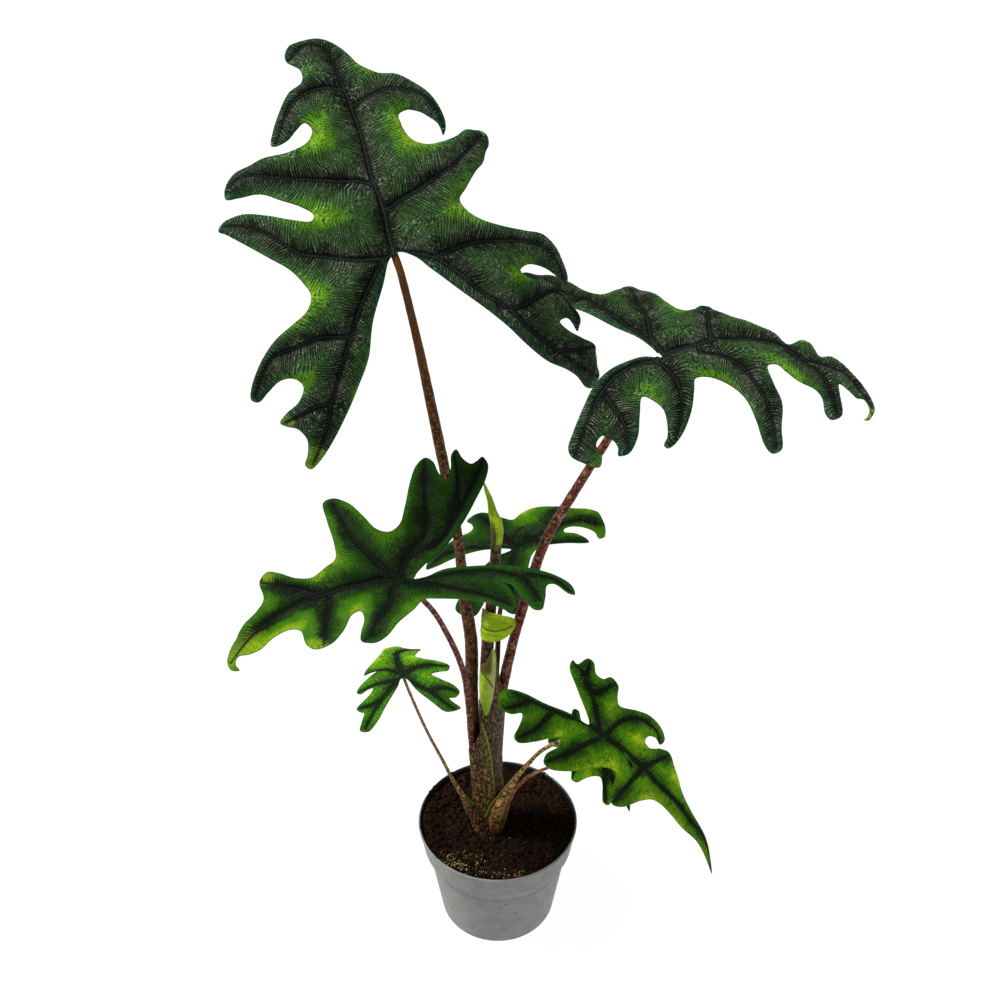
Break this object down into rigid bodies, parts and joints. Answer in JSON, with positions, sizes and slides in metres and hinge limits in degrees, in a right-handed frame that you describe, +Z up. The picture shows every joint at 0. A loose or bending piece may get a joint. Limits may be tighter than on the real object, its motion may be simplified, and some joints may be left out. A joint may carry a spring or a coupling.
{
  "type": "potted alocasia tandurusa",
  "caption": "Tropical aroid with deeply cut dark green leaves on long mottled stalks, growing from moist peat in a round tapered plastic nursery pot.",
  "frame": {"origin": "middle of the underside of the pot's flat floor", "axes": "+Z up, +X to the right and +Y away from a viewer who faces the plant's front"},
  "size_m": [0.383, 0.2431, 0.6481],
  "materials": {
    "pot": "matt light grey moulded plastic, black inside",
    "soil": "moist dark peat with fibres and white grains",
    "stem": "wrapped sheath bases, brown with tan spots and green edges",
    "mottled_stalk": "smooth skin, reddish brown with dark mottles",
    "pale_stalk": "smooth skin, tan with dark cross dashes",
    "old_leaf": "velvety dark green with sunken blackish veins",
    "young_leaf": "satin bright green with dark veins and yellow-green edges",
    "new_growth": "smooth pale yellow-green"
  },
  "bodies": {
    "root": {"pot": "pot", "soil": "soil", "stem_base": "stem", "stalk_a": "mottled_stalk", "stalk_b": "mottled_stalk", "stalk_c": "mottled_stalk", "stalk_d": "mottled_stalk", "stalk_e": "pale_stalk", "stalk_f": "pale_stalk", "stalk_g": "pale_stalk", "stalk_h": "mottled_stalk", "blade_a": "old_leaf", "blade_b": "old_leaf", "blade_c": "young_leaf", "blade_d": "young_leaf", "blade_e": "young_leaf", "blade_f": "young_leaf", "blade_g": "young_leaf", "spear": "new_growth", "flap": "new_growth", "sheath": "new_growth"}
  },
  "joints": []
}
